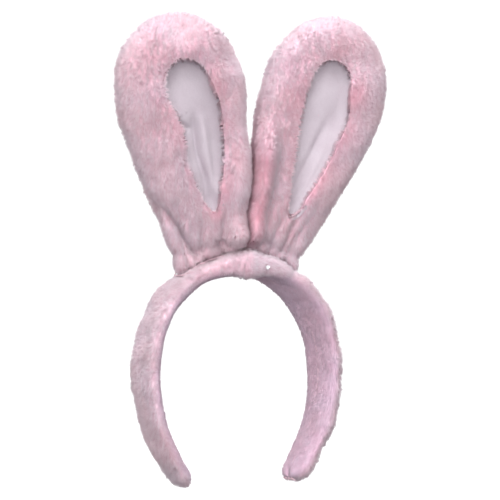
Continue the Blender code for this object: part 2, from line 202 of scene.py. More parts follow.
def polar(outline):
    """Angles from straight down in rising order over one turn, and distances, both from the ear's middle."""
    angles = np.arctan2(outline[:, 0], EAR_MIDDLE - outline[:, 1])
    order = np.argsort(angles)
    return angles[order], np.hypot(outline[:, 0], outline[:, 1] - EAR_MIDDLE)[order]


EAR_POLAR = polar(full(ear_half()))
PANEL_POLAR = {name: polar(panel_outline(name)) for name in SIDES}


def ear_edge(angle):
    return np.interp(angle, *EAR_POLAR, period=2 * math.pi)


def panel_edge(angle, name):
    return np.interp(angle, *PANEL_POLAR[name], period=2 * math.pi)


def panel_rim(angle, name, out):
    """Distances and angles of the line that runs outside the panel's edge by out, square to the edge."""
    fine = np.linspace(-math.pi, math.pi, 721)
    edge = panel_edge(fine, name)
    along_x, along_z = np.gradient(edge * np.sin(fine)), np.gradient(-edge * np.cos(fine))
    size = np.hypot(along_x, along_z)
    out_x, out_z = np.interp(angle, fine, along_z / size), np.interp(angle, fine, -along_x / size)
    edge = panel_edge(angle, name)
    x, z = edge * np.sin(angle) + out_x * out, -edge * np.cos(angle) + out_z * out
    return np.hypot(x, z), np.arctan2(x, -z)


def ear_depth(across, height, name, hollowed=0):
    """The ear's half thickness at a point seen from the front, less the share hollowed of the panel's hollow."""
    angle = np.arctan2(across, EAR_MIDDLE - height)
    distance = np.hypot(across, height - EAR_MIDDLE)
    share = np.minimum(distance / ear_edge(angle), 1)
    depth = EAR_EDGE + (EAR_THICKNESS / 2 - EAR_EDGE) * np.sqrt(1 - share * share)
    inside = panel_edge(angle, name) - distance
    return depth * (1 - hollowed * RECESS * smoothstep(0.5 + inside / (2 * RECESS_SLOPE)))


def ear_angles(count):
    """Angles round the ear's middle, evenly spaced along the ear's edge and starting straight down."""
    outline = full(ear_half())
    closed = np.vstack([outline, outline[:1]])
    along = np.concatenate([[0], np.cumsum(np.linalg.norm(np.diff(closed, axis=0), axis=1))])
    wanted = np.linspace(0, along[-1], count, endpoint=False)
    x, z = np.interp(wanted, along, closed[:, 0]), np.interp(wanted, along, closed[:, 1])
    return np.arctan2(x, EAR_MIDDLE - z)


def hoop(length):
    """The centreline's points, and its directions and outward normals, at lengths from the top."""
    side = np.where(length < 0, -1.0, 1.0)
    turn = np.minimum(abs(length) / CROWN_RADIUS, CROWN_TURN)
    end = turn + (abs(length) - CROWN_RADIUS * turn) / SIDE_RADIUS
    across = CROWN_RADIUS * np.sin(turn) + SIDE_RADIUS * (np.sin(end) - np.sin(turn))
    down = CROWN_RADIUS * (1 - np.cos(turn)) + SIDE_RADIUS * (np.cos(turn) - np.cos(end))
    none = np.zeros_like(end)
    point = np.stack([side * across, none, CENTRE_HEIGHT - down], -1)
    direction = np.stack([np.cos(end), none, -side * np.sin(end)], -1)
    normal = np.stack([side * np.sin(end), none, np.cos(end)], -1)
    return point, direction, normal


def ear_place(name):
    side = SIDES[name]
    seat, _, normal = map(Vector, hoop(np.array(side * (EAR_BASE_WIDTH / 2 + EAR_SEAT_OFFSET[name]))))
    turn = Matrix.Rotation(side * EAR_SPLAY[name], 4, "Y") @ Matrix.Rotation(EAR_LEAN, 4, "X")
    turn = turn @ Matrix.Rotation(EAR_TOE[name], 4, "Z")
    stretch = Matrix.Diagonal((1, 1, EAR_STRETCH[name], 1))
    return Matrix.Translation(seat + normal * COVER_THICKNESS / 2) @ turn @ stretch


def settled(points, side):
    """The points moved clear of the other ear, and below the tilt axis kept on a roll over the cover."""
    across = np.maximum(side * points[..., 0], EAR_PARTING / 2)
    cover_top = CENTRE_HEIGHT - CROWN_RADIUS + np.sqrt(np.maximum(OUTER_RADIUS**2 - across**2, 0))
    room = TILT_AXIS_HEIGHT - cover_top - ROLL_GAP
    back, up = points[..., 1], points[..., 2] - TILT_AXIS_HEIGHT
    shrink = np.where(up < 0, np.minimum(room / np.maximum(np.hypot(back, up), 1e-9), 1), 1)
    return np.stack([side * across, back * shrink, TILT_AXIS_HEIGHT + up * shrink], -1)


def in_place(points, name):
    """Points of an ear's own frame in the model's frame."""
    matrix = np.array(ear_place(name))
    return settled(points @ matrix[:3, :3].T + matrix[:3, 3], SIDES[name])


def grid_normals(points, flip):
    """Outward normals of a grid of points whose columns go all the way round."""
    down = np.gradient(points, axis=0)
    round_it = np.roll(points, -1, axis=1) - np.roll(points, 1, axis=1)
    return unit(np.cross(down, round_it)) * flip


# ---------------------------------------------------------------- meshes


def flat(array, kind):
    return np.ascontiguousarray(array, kind).ravel()


def new_mesh(name, points, faces, material):
    """A mesh object from points and lists of faces, one array for each number of corners."""
    data = bpy.data.meshes.new(name)
    data.vertices.add(len(points))
    data.vertices.foreach_set("co", flat(points, np.float32))
    corners = np.concatenate([flat(group, np.int32) for group in faces])
    totals = np.concatenate([np.full(len(group), group.shape[1], np.int32) for group in faces])
    starts = np.concatenate([[0], np.cumsum(totals)[:-1]]).astype(np.int32)
    data.loops.add(len(corners))
    data.loops.foreach_set("vertex_index", corners)
    data.polygons.add(len(totals))
    data.polygons.foreach_set("loop_start", starts)
    data.polygons.foreach_set("loop_total", totals)
    data.update(calc_edges=True)
    data.shade_smooth()
    data.materials.append(material)
    made = bpy.data.objects.new(name, data)
    bpy.context.scene.collection.objects.link(made)
    return made, corners


def grid_faces(rows, columns, flip):
    """Quads of a grid whose columns go all the way round."""
    index = np.arange(rows * columns).reshape(rows, columns)
    after = np.roll(index, -1, axis=1)
    quads = np.stack([index[:-1], index[1:], after[1:], after[:-1]], -1).reshape(-1, 4)
    return quads if flip > 0 else quads[:, ::-1]


def write_attribute(piece, name, values):
    made = piece.data.attributes.new(name, "FLOAT", "POINT")
    made.data.foreach_set("value", flat(values, np.float32))


def write_uv(piece, corners, places):
    made = piece.data.uv_layers.new(name="OFBake")
    made.data.foreach_set("uv", flat(places[corners], np.float32))


CLUMPS = Ripple(0.0046)
FINE_CLUMPS = Ripple(0.0021)


def tufts(points, normals, pile, lie, count):
    """Thin pointed tufts scattered evenly over a grid: points, normals, faces, heights and places in the grid.

    pile is each grid point's tuft length. lie is the way its tufts lean, as long as the tangent of the lean.
    """
    rows, columns = points.shape[:2]
    following = np.roll(points, -1, axis=1)
    one, two = points[1:] - points[:-1], following[:-1] - points[:-1]
    area = np.linalg.norm(np.cross(one, two), axis=-1) * (pile[:-1] > 0)
    chance = np.cumsum(area.ravel())
    cell = np.searchsorted(chance, random.uniform(0, chance[-1], count))
    cell = np.minimum(cell, len(chance) - 1)
    row, column = cell // columns, cell % columns
    right = (column + 1) % columns
    down_share, right_share = random.uniform(0, 1, (2, count, 1))

    def blended(values):
        values = values.reshape(rows, columns, -1)
        top = values[row, column] * (1 - right_share) + values[row, right] * right_share
        bottom = values[row + 1, column] * (1 - right_share) + values[row + 1, right] * right_share
        return top * (1 - down_share) + bottom * down_share

    root = blended(points)
    normal = unit(blended(normals))
    length = blended(pile)
    way = normal + blended(lie) + random.normal(0, 0.13, (count, 3))
    pull = CLUMPS.slope(root * STREAK) * 0.30 + FINE_CLUMPS.slope(root * STREAK) * 0.18
    way += pull - normal * (pull * normal).sum(-1, keepdims=True)
    way = unit(way)
    length = length * (1 + 0.05 * CLUMPS.at(root)[:, None] + random.uniform(-0.16, 0.09, (count, 1)))
    tip = root + way * length
    side = unit(np.cross(way, random.normal(size=(count, 3))))
    other = np.cross(way, side)
    thinning = 0.6 + 0.4 * np.minimum(length / EAR_PILE, 1)
    width = TUFT_RADIUS * random.uniform(0.8, 1.25, (count, 1)) * thinning
    corners, turned = [], []
    for turn in (0, 2 * math.pi / 3, 4 * math.pi / 3):
        out = math.cos(turn) * side + math.sin(turn) * other
        corners.append(root - normal * 0.0003 + out * width)
        turned.append(unit(normal * 0.75 + out * 0.35))
    corners.append(tip)
    turned.append(unit(normal * 0.8 + way * 0.2))
    first = np.arange(count)[:, None] * 4
    faces = np.vstack([first + (0, 1, 3), first + (1, 2, 3), first + (2, 0, 3)])
    heights = np.tile((0.0, 0.0, 0.0, 1.0), count)
    down, over = (row[:, None] + down_share) / rows, (column[:, None] + right_share) / (columns + 1)
    place = np.concatenate([down, over], 1)
    every = np.stack(corners, 1).reshape(-1, 3), np.stack(turned, 1).reshape(-1, 3)
    return every[0], every[1], faces, heights, np.repeat(place, 4, axis=0)


def plush(name, points, flip, pile, lie, material, tints):
    """A piece of plush: its cloth, a grid of points whose columns go all the way round, and the pile on it.

    tints names an array over the grid for each of the material's extra tints.
    """
    rows, columns = points.shape[:2]
    normals = grid_normals(points, flip)
    cloth = grid_faces(rows, columns, flip)
    count = (MOST_TRIANGLES - 2 * len(cloth)) // 3
    tuft_points, tuft_normals, tuft_faces, heights, places = tufts(points, normals, pile, lie, count)
    flat_points = points.reshape(-1, 3)
    every = np.vstack([flat_points, tuft_points])
    piece, corners = new_mesh(name, every, [cloth, tuft_faces + len(flat_points)], material)
    write_attribute(piece, "tip", np.concatenate([np.full(len(flat_points), 0.25), heights]))
    row, column = np.divmod(np.arange(len(flat_points)), columns)
    grid_places = np.stack([row / rows, column / (columns + 1)], 1)
    write_uv(piece, corners, np.vstack([grid_places, places]))
    row, column = (places * (rows, columns + 1)).astype(int).T
    for tint, values in tints.items():
        write_attribute(piece, tint, np.concatenate([values.ravel(), values[row, column % columns]]))
    piece.data.normals_split_custom_set_from_vertices(np.vstack([normals.reshape(-1, 3), tuft_normals]))
    return piece


def thread(name, path, radius, material, closed=True):
    """A twisted thread along a path, as a mesh."""
    sides, count = 6, len(path)
    around = np.roll(path, -1, axis=0) - np.roll(path, 1, axis=0)
    along = unit(around if closed else np.gradient(path, axis=0))
    across = unit(np.cross(along, (0.03, 1.0, 0.02)))
    out = np.cross(along, across)
    turn = np.arange(sides) * 2 * math.pi / sides
    twist = np.arange(count)[:, None] * 0.9 + turn
    swell = radius * (1 + 0.22 * np.cos(2 * twist))
    ring = swell[..., None] * (np.cos(turn)[:, None] * across[:, None] + np.sin(turn)[:, None] * out[:, None])
    points = path[:, None] + ring
    if closed:
        points = np.concatenate([points, points[:1]])
    piece, _ = new_mesh(name, points.reshape(-1, 3), [grid_faces(len(points), sides, 1)], material)
    return piece


# ---------------------------------------------------------------- materials


def new_material(name):
    made = bpy.data.materials.new(name)
    made.use_nodes = True
    tree = made.node_tree
    return made, tree, tree.nodes["Principled BSDF"]


def node(tree, kind, **settings):
    made = tree.nodes.new(kind)
    for key, value in settings.items():
        if key in made.inputs:
            made.inputs[key].default_value = value
        else:
            setattr(made, key, value)
    return made


def noise(tree, scale, detail=3, roughness=0.5):
    """A noise texture over the object, with its size given as features to a metre."""
    where = node(tree, "ShaderNodeTexCoord")
    made = node(tree, "ShaderNodeTexNoise", Scale=scale, Detail=detail, Roughness=roughness)
    tree.links.new(where.outputs["Object"], made.inputs["Vector"])
    return made.outputs["Fac"]


def ramp(tree, value, stops):
    made = node(tree, "ShaderNodeValToRGB")
    while len(made.color_ramp.elements) < len(stops):
        made.color_ramp.elements.new(0.5)
    for element, (position, colour) in zip(made.color_ramp.elements, stops):
        element.position = position
        element.color = (*colour, 1)
    tree.links.new(value, made.inputs["Fac"])
    return made.outputs["Color"]


def mixed(tree, share, one, two, way="MIX"):
    made = node(tree, "ShaderNodeMix", data_type="RGBA", blend_type=way)
    if isinstance(share, float):
        made.inputs[0].default_value = share
    else:
        tree.links.new(share, made.inputs[0])
    for socket, colour in ((made.inputs[6], one), (made.inputs[7], two)):
        if isinstance(colour, tuple):
            socket.default_value = (*colour, 1)
        else:
            tree.links.new(colour, socket)
    return made.outputs[2]


def bumped(tree, shader, height, distance, strength=1.0):
    made = node(tree, "ShaderNodeBump", Strength=strength, Distance=distance)
    tree.links.new(height, made.inputs["Height"])
    tree.links.new(made.outputs["Normal"], shader.inputs["Normal"])


def plush_material(name, root, middle, tip):
    """Faux fur: deep at the roots and pale at the tips, with soft random blotches, a darker mauve painted shade on the
    band's inner face, and a deep pink painted shade round the panels and between the ears.
    """
    made, tree, shader = new_material(name)
    height = node(tree, "ShaderNodeAttribute", attribute_name="tip")
    along = ramp(tree, height.outputs["Fac"], ((0.0, root), (0.45, middle), (1.0, tip)))
    tone = ramp(tree, noise(tree, 42, 2), ((0.38, (1.0, 0.93, 0.95)), (0.62, (0.98, 0.97, 1.0))))
    blotch = ramp(tree, noise(tree, 130, 3), ((0.30, (0.96, 0.93, 0.94)), (0.62, (1, 1, 1))))
    clump = ramp(tree, noise(tree, 420, 4, 0.6), ((0.33, (0.94, 0.90, 0.92)), (0.60, (1, 1, 1))))
    # Painted shade, with a mauve tint: the band's inner face, hidden from the overhead light by the crown and ears, is
    # darkened.
    inner_shade_share = node(tree, "ShaderNodeAttribute", attribute_name="inner_face_shade")
    inner_shade_tint = ramp(tree, inner_shade_share.outputs["Fac"], ((0.0, (1, 1, 1)), (1.0, (0.80, 0.78, 0.84))))
    # Painted shade: deeper pink where the ears press together and round the recessed panels.
    pink_shade_share = node(tree, "ShaderNodeAttribute", attribute_name="painted_pink_shade")
    pink = ramp(tree, pink_shade_share.outputs["Fac"], ((0.0, (1, 1, 1)), (1.0, (1.0, 0.76, 0.81))))
    colour = along
    for tint in (tone, blotch, clump, inner_shade_tint, pink):
        colour = mixed(tree, 1.0, colour, tint, "MULTIPLY")
    tree.links.new(colour, shader.inputs["Base Color"])
    rough = ramp(tree, noise(tree, 300), ((0.3, (0.80,) * 3), (0.7, (0.95,) * 3)))
    tree.links.new(rough, shader.inputs["Roughness"])
    shader.inputs["Specular IOR Level"].default_value = 0.12
    shader.inputs["Sheen Weight"].default_value = 0.14
    shader.inputs["Sheen Roughness"].default_value = 0.5
    shader.inputs["Sheen Tint"].default_value = (1.0, 0.88, 0.93, 1)
    return made


def velour_material():
    """Short smooth velour, pale lavender white, with brushed streaks and a fine pile."""
    made, tree, shader = new_material("pale_velour_pile")
    blotch = ramp(tree, noise(tree, 70, 3), ((0.3, (0.50, 0.435, 0.485)), (0.7, (0.56, 0.50, 0.55))))
    grain = ramp(tree, noise(tree, 1500, 3, 0.6), ((0.3, (0.90, 0.89, 0.90)), (0.7, (1, 1, 1))))
    tree.links.new(mixed(tree, 1.0, blotch, grain, "MULTIPLY"), shader.inputs["Base Color"])
    rough = ramp(tree, noise(tree, 500), ((0.3, (0.75,) * 3), (0.7, (0.92,) * 3)))
    tree.links.new(rough, shader.inputs["Roughness"])
    bumped(tree, shader, noise(tree, 1700, 4, 0.65), 0.0004, 0.5)
    shader.inputs["Specular IOR Level"].default_value = 0.15
    shader.inputs["Sheen Weight"].default_value = 0.3
    shader.inputs["Sheen Roughness"].default_value = 0.4
    return made


def cloth_like(name, dark, light, scale, roughness, depth, specular=0.3):
    """A finish with mottled colour, uneven gloss and a fine relief."""
    made, tree, shader = new_material(name)
    mottle = ramp(tree, noise(tree, scale, 4), ((0.3, dark), (0.7, light)))
    tree.links.new(mottle, shader.inputs["Base Color"])
    rough = ramp(tree, noise(tree, scale * 2), ((0.3, (roughness * 0.85,) * 3), (0.7, (roughness,) * 3)))
    tree.links.new(rough, shader.inputs["Roughness"])
    bumped(tree, shader, noise(tree, scale * 3, 4, 0.6), depth, 0.6)
    shader.inputs["Specular IOR Level"].default_value = specular
    return made


EAR_PLUSH = plush_material("pink_plush_ears", (0.79, 0.54, 0.61), (0.91, 0.735, 0.795), (0.98, 0.855, 0.905))
BAND_PLUSH = plush_material("pink_plush_band", (0.77, 0.54, 0.61), (0.88, 0.72, 0.78), (0.96, 0.855, 0.90))
VELOUR = velour_material()
THREAD = cloth_like("pink_thread_twist", (0.62, 0.40, 0.46), (0.80, 0.58, 0.64), 1800, 0.75, 0.0001)
CLEAR = cloth_like("clear_thread_knot", (0.80, 0.80, 0.83), (0.95, 0.95, 0.97), 900, 0.25, 0.00005, 0.6)
PLASTIC_COLOURS = (0.72, 0.70, 0.67), (0.80, 0.78, 0.75)
WIRE_COLOURS = (0.55, 0.55, 0.56), (0.72, 0.72, 0.73)
CAD_FINISHES = {
    "wadding": cloth_like("wadding_fibres", (0.70, 0.70, 0.68), (0.88, 0.88, 0.86), 500, 0.98, 0.0006),
    "hoop_plastic": cloth_like("hoop_plastic_satin", *PLASTIC_COLOURS, 300, 0.45, 0.00005, 0.5),
    "coated_wire": cloth_like("coated_wire_drawn", *WIRE_COLOURS, 900, 0.38, 0.00003, 0.5),
    "pink_thread": THREAD,
    "clear_thread": CLEAR,
    "pink_plush": BAND_PLUSH,
    "pale_velour": VELOUR,
}


def repaint_cad():
    """Gives every carried-over CAD node its slot's procedural finish."""
    for subpart in frame["record"]["subparts"]:
        node_object = frame["nodes"][subpart["node"]]
        for material_slot in node_object.material_slots:
            material_slot.material = CAD_FINISHES[subpart["material_slot"]]


# ---------------------------------------------------------------- the band


def make_band_seam(name):
    """The cover's seam, along the middle of the band's inner face, sunk in its short pile."""
    side = SIDES[name]
    lengths = np.linspace(0, TIP - TIP_ROUNDING, 260)
    centre, _, normal = hoop(side * lengths)
    path = centre - normal * (COVER_THICKNESS / 2 - LINING_INSET)
    piece = thread("band_" + name + "_sewing", path, 0.0003, THREAD, closed=False)
    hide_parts("band_seam_arm_" + name)
    if name == "left":
        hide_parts("band_seam_crown")
    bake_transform(piece)


BAND_ROWS, BAND_COLUMNS = 150, 72
# Each arm's twist: degrees, where along it, and over what reach.
BAND_TWIST = {"left": (5, 0.150, 0.050), "right": (12, 0.066, 0.055)}
TIP_TAPER = {"left": 0.26, "right": 0.12}
FRONT_DROOP = 0.0042  # of the crown's front edge, below the ears
FRONT_ROLL = 0.0022  # of puffed pile along that edge
EAR_PLUG = 0.0060  # of plush that fills the foot of the slot between the ears
BAND_LUMPS = Ripple(0.024)
BAND_DIMPLES = Ripple(0.0085)


def make_band(name):
    """One half of the band, from the top of the crown to its rounded tip."""
    side = SIDES[name]
    straight = np.linspace(0, TIP - TIP_ROUNDING, BAND_ROWS - 14)
    bend = np.radians(np.linspace(0, 89.5, 15)[1:])
    lengths = np.concatenate([straight, TIP - TIP_ROUNDING + TIP_ROUNDING * np.sin(bend)])
    shrink = np.concatenate([np.ones(len(straight)), np.cos(bend) ** 0.8])
    turn = np.arange(BAND_COLUMNS) * 2 * math.pi / BAND_COLUMNS
    power = 2 / COVER_SQUARENESS
    across = np.sign(np.cos(turn)) * abs(np.cos(turn)) ** power * (COVER_WIDTH / 2 - BAND_INSET)
    inset = np.where(np.sin(turn) > 0, BAND_INSET, LINING_INSET)
    out = np.sign(np.sin(turn)) * abs(np.sin(turn)) ** power * (COVER_THICKNESS / 2 - inset)
    centre, direction, normal = hoop(side * lengths)
    width, thick = across * shrink[:, None], out * shrink[:, None]
    width = width * (1 - TIP_TAPER[name] * smoothstep((lengths - TIP + 0.026) / 0.026))[:, None]
    drooped = bump(lengths * side, 0.002, 0.027)[:, None] * smoothstep((-across - 0.004) / 0.009)
    thick = thick - FRONT_DROOP * drooped * smoothstep(0.5 - np.sin(turn))
    if name == "right":
        notch = bump(lengths, TIP, 0.006)[:, None] * bump(across, 0.002, 0.0038)
        lengths_pull = notch * 0.0036
    else:
        lengths_pull = bump(lengths, TIP, 0.006)[:, None] * bump(across, -0.004, 0.004) * 0.002
    twist = np.radians(BAND_TWIST[name][0]) * bump(lengths, *BAND_TWIST[name][1:])[:, None]
    turned = thick * np.cos(twist) - width * np.sin(twist)
    width, thick = width * np.cos(twist) + thick * np.sin(twist), turned
    pulled = lengths_pull[..., None] * (direction * side)[:, None]
    points = centre[:, None] + thick[..., None] * normal[:, None] - pulled
    points[..., 1] += width
    flip = -side
    normals = grid_normals(points, flip)
    outside = smoothstep(0.5 + (np.sin(turn) + 0.6 * drooped) * 1.6)
    swell = 0.0006 * BAND_LUMPS.at(points) + 0.00015 * BAND_DIMPLES.at(points)
    roll = FRONT_ROLL * bump(across, -COVER_WIDTH / 2, 0.007) * bump(lengths * side, 0.002, 0.022)[:, None]
    plug = EAR_PLUG * bump(across, 0, 0.012) * bump(lengths * side, -0.001, 0.007)[:, None]
    swell = swell * (0.35 + 0.65 * outside) + (roll + plug) * outside
    points = points + normals * swell[..., None]
    pile = LINING_PILE + (BAND_PILE - LINING_PILE) * outside
    lie = (direction * side)[:, None] * (0.55 + 0.25 * BAND_LUMPS.at(points))[..., None]
    # This share darkens the band's inner face in the material: painted shade with a mauve tint.
    inner_face_shade = 1 - outside
    piece = plush("band_" + name + "_half", points, flip, pile, lie, BAND_PLUSH, {"inner_face_shade": inner_face_shade})
    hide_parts("band_cover_arm_" + name, "band_wadding_arm_" + name)
    if name == "left":
        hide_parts("band_cover_crown", "band_wadding_crown")
    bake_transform(piece)
    make_band_seam(name)


# ---------------------------------------------------------------- the ears

EAR_COLUMNS = 210
GATHER_HEIGHT = 0.017
EAR_LUMPS = Ripple(0.030)
EAR_DIMPLES = Ripple(0.010)
INNER_PUFF = {"left": 0.0042, "right": 0.0038}  # of the sides that press against each other
INNER_PRESS = {"left": 0.0034, "right": 0.0105}  # of the same sides, towards the front
BASE_PUFF = 0.0045  # of the same sides, just above the base
DIAGONAL_CREASE = ((-0.034, 0.050), (-0.004, -0.002))  # on the left ear's front


def along_line(across, height, start, end):
    """How far points are along a line, as a share of it, and how far off to its side."""
    (x, z), (far_x, far_z) = start, end
    length = math.hypot(far_x - x, far_z - z)
    way_x, way_z = (far_x - x) / length, (far_z - z) / length
    share = ((across - x) * way_x + (height - z) * way_z) / length
    off = -(across - x) * way_z + (height - z) * way_x
    return share, off


def across_share(local):
    """How far points are across the ear, from -1 to 1 at its edges."""
    return local[..., 0] / np.maximum(np.interp(local[..., 2], *ear_half()[:81].T[::-1]), 0.012)


def pressed(name, local, start, reach):
    """The share of a point in the low part of the ear's side that meets the other ear."""
    inner = smoothstep((-SIDES[name] * across_share(local) - start) / reach)
    return inner * smoothstep(local[..., 2] / 0.012) * smoothstep((0.086 - local[..., 2]) / 0.032)


def ear_relief(name, local, front):
    """How far the plush stands out of the ear's plain shape at its own frame's points: folds and puffs."""
    across, height = local[..., 0], local[..., 2]
    share = across_share(local)
    phase = 0.6 if front else 2.1
    folds = 1 - abs(np.sin(share * 5.2 + phase + 0.35 * np.sin(height * 120)))
    relief = -0.0030 * folds**2 * smoothstep((0.046 - height) / 0.036)
    relief -= 0.0016 * bump(height, 0.009, 0.0035)
    relief += 0.0012 * bump(height, -0.001, 0.005)
    relief += INNER_PUFF[name] * pressed(name, local, 0.45, 0.4)
    relief += BASE_PUFF * smoothstep((-SIDES[name] * share - 0.5) / 0.4) * bump(height, 0.010, 0.011)
    if front and name == "left":
        share, off = along_line(across, height, *DIAGONAL_CREASE)
        inside = smoothstep(share * 2.6) * smoothstep((1 - share) * 6)
        relief -= 0.0046 * bump(off, 0, 0.0026) * inside
        relief += 0.0016 * bump(off, -0.008, 0.006) * inside
    if front and name == "right":
        share, off = along_line(across, height, (0.006, 0.042), (0.004, 0.0))
        relief -= 0.0030 * bump(off, 0, 0.0022) * smoothstep(share * 4) * smoothstep((1 - share) * 5)
    return relief


def sculpted(name, local, flip, front, inset):
    """The ear's cloth in place: its own frame's points with their relief, drawn in under the pile."""
    forward = INNER_PRESS[name] * pressed(name, local, 0.55, 0.4)
    plain = in_place(local - forward[..., None] * (0, 1, 0), name)
    normals = grid_normals(plain, flip)
    relief = ear_relief(name, local, front) - inset
    relief = relief + 0.00035 * EAR_LUMPS.at(plain) + 0.00012 * EAR_DIMPLES.at(plain)
    points = plain + normals * relief[..., None]
    side = SIDES[name]
    points[..., 0] = side * np.maximum(side * points[..., 0], EAR_INSET * 0.4)
    return points


def from_polar(distance, angle, depth):
    return np.stack([distance * np.sin(angle), depth, EAR_MIDDLE - distance * np.cos(angle)], -1)


def pile_lie(points, flow_down, outward, sides):
    """The way the pile leans: down the ear and out from its middle line, a little different at each place."""
    turn = EAR_LUMPS.at(points)[..., None]
    lie = np.array((0.0, 0.0, -1.0)) * (flow_down + 0.2 * turn) + outward * sides
    return lie


def painted_pink_shade(name, local, points):
    """The share of deep pink painted shade: round the recessed panel, and in the crease between the ears where they
    press together.
    """
    crease = pressed(name, local, {"left": 0.80, "right": 0.56}[name], 0.36)
    angle = np.arctan2(local[..., 0], EAR_MIDDLE - local[..., 2])
    distance = np.hypot(local[..., 0], local[..., 2] - EAR_MIDDLE)
    beside = bump(distance - panel_edge(angle, name), 0, 0.012) * (local[..., 1] < 0)
    return np.clip(0.75 * crease + beside * (0.30 + 0.20 * EAR_LUMPS.at(points)), 0, 1)


def finish_ear_piece(piece):
    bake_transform(piece)


def make_back(name):
    angle = ear_angles(EAR_COLUMNS)
    rows = []
    for bend in np.radians(np.linspace(0.25, 90, 48)):
        distance = ear_edge(angle) * math.sin(bend)
        across, height = distance * np.sin(angle), EAR_MIDDLE - distance * np.cos(angle)
        rows.append(from_polar(distance, angle, ear_depth(across, height, name)))
    for depth in (0.0019, 0.0009, 0.0):
        rows.append(from_polar(ear_edge(angle) - 0.0002, angle, np.full_like(angle, depth)))
    local = np.stack(rows)
    points = sculpted(name, local, -1, False, EAR_INSET)
    pile = np.full(points.shape[:2], EAR_PILE)
    outward = unit(points - points[:1].mean(axis=1, keepdims=True))
    lie = pile_lie(points, 0.45, outward, 0.25)
    # The deeper pink here is painted shade, in the crease between the ears and round the panel.
    tints = {"painted_pink_shade": painted_pink_shade(name, local, points)}
    piece = plush("ear_" + name + "_back", points, -1, pile, lie, EAR_PLUSH, tints)
    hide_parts("ear_" + name + "_back_panel", "ear_" + name + "_stuffing")
    finish_ear_piece(piece)


def border_rows(angle, name):
    """Rows from the ear's edge over the puffed border and down its lip into the panel's opening."""
    edge, opening = ear_edge(angle), panel_edge(angle, name)
    rows = []
    for depth in (0.0, 0.0009, 0.0019):
        rows.append(from_polar(edge - 0.0002, angle, np.full_like(angle, -depth)))
    for bend in np.radians(np.linspace(0, 90, 40)):
        distance = opening + (edge - opening) * math.cos(bend)
        across, height = distance * np.sin(angle), EAR_MIDDLE - distance * np.cos(angle)
        puff = 0.0020 * math.sin(2 * bend) ** 2 * smoothstep((height - 0.02) / 0.03)
        rows.append(from_polar(distance, angle, -ear_depth(across, height, name, 0.35) - puff))
    crest = rows[-1]
    lip = 0.0026
    narrow = np.clip((crest[..., 2] - PANEL_BOTTOM) / 0.012, 0.4, 1)
    for bend in np.radians((25, 50, 75, 100, 125, 150)):
        distance, turned = panel_rim(angle, name, -lip * math.sin(bend) * 0.8 * narrow)
        depth = crest[..., 1] + lip * (1 - math.cos(bend))
        rows.append(from_polar(distance, turned, depth))
    return np.stack(rows)


def make_border(name):
    angle = ear_angles(EAR_COLUMNS)
    local = border_rows(angle, name)
    points = sculpted(name, local, -1, True, EAR_INSET)
    count = len(points)
    pile = np.full(points.shape[:2], EAR_PILE)
    to_lip = smoothstep((np.arange(count) - (count - 14)) / 12)[:, None, None]
    low = smoothstep((local[..., 2] - PANEL_BOTTOM) / 0.020)
    pile *= 1 - 0.45 * to_lip[..., 0] * (1 - low)
    outward = unit(points[:1] - points[-1:])
    lie = pile_lie(points, 0.45, outward * (1 - 3.2 * to_lip), 0.30)
    # The deeper pink here is painted shade, in the crease between the ears and round the panel.
    tints = {"painted_pink_shade": painted_pink_shade(name, local, points)}
    piece = plush("ear_" + name + "_border", points, -1, pile, lie, EAR_PLUSH, tints)
    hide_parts("ear_" + name + "_front_border")
    finish_ear_piece(piece)


def panel_relief(name, local):
    """The velour panel's sag, folds and dimple."""
    across, height = local[..., 0], local[..., 2]
    relief = -0.0016 * bump(height, 0.080, 0.035)
    if name == "left":
        share, off = along_line(across, height, (0.004, 0.100), (0.007, 0.024))
        inside = smoothstep(share * 3) * smoothstep((1.15 - share) * 5)
        relief -= 0.0032 * bump(off, 0.0008 * np.sin(height * 160), 0.0024) * inside
        relief += 0.0018 * bump(off, 0.005, 0.0035) * inside
        relief -= 0.0022 * bump(across, 0.003, 0.005) * bump(height, 0.084, 0.007)
        share, off = along_line(across, height, (-0.010, 0.092), (0.004, 0.083))
        relief -= 0.0016 * bump(off, 0, 0.0018) * smoothstep(share * 3) * smoothstep((1 - share) * 3)
    else:
        share, off = along_line(across, height, (0.010, 0.104), (-0.001, 0.036))
        inside = smoothstep(share * 2.5) * smoothstep((1.15 - share) * 5)
        relief -= 0.0024 * bump(off, 0, 0.0034) * inside
        relief += 0.0020 * bump(off, 0.007, 0.0045) * inside
    return relief


def make_panel(name):
    angle = ear_angles(140)
    rows = []
    for share in np.linspace(0.01, 0.99, 56):
        distance = panel_edge(angle, name) * share
        across, height = distance * np.sin(angle), EAR_MIDDLE - distance * np.cos(angle)
        rows.append(from_polar(distance, angle, -ear_depth(across, height, name, 1)))
    for out in (0.0008, 0.0016, 0.0024, 0.0032):
        distance, turned = panel_rim(angle, name, out)
        across, height = distance * np.sin(turned), EAR_MIDDLE - distance * np.cos(turned)
        rows.append(from_polar(distance, turned, -ear_depth(across, height, name, 1)))
    local = np.stack(rows)
    plain = in_place(local, name)
    normals = grid_normals(plain, 1)
    relief = panel_relief(name, local) - 0.0030 + 0.00022 * EAR_LUMPS.at(plain)
    points = plain + normals * relief[..., None]
    index = grid_faces(*points.shape[:2], 1)
    piece, corners = new_mesh("ear_" + name + "_panel", points.reshape(-1, 3), [index], VELOUR)
    row, column = np.divmod(np.arange(points.shape[0] * points.shape[1]), points.shape[1])
    write_uv(piece, corners, np.stack([row / points.shape[0], column / (points.shape[1] + 1)], 1))
    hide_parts("ear_" + name + "_inner_panel")
    finish_ear_piece(piece)


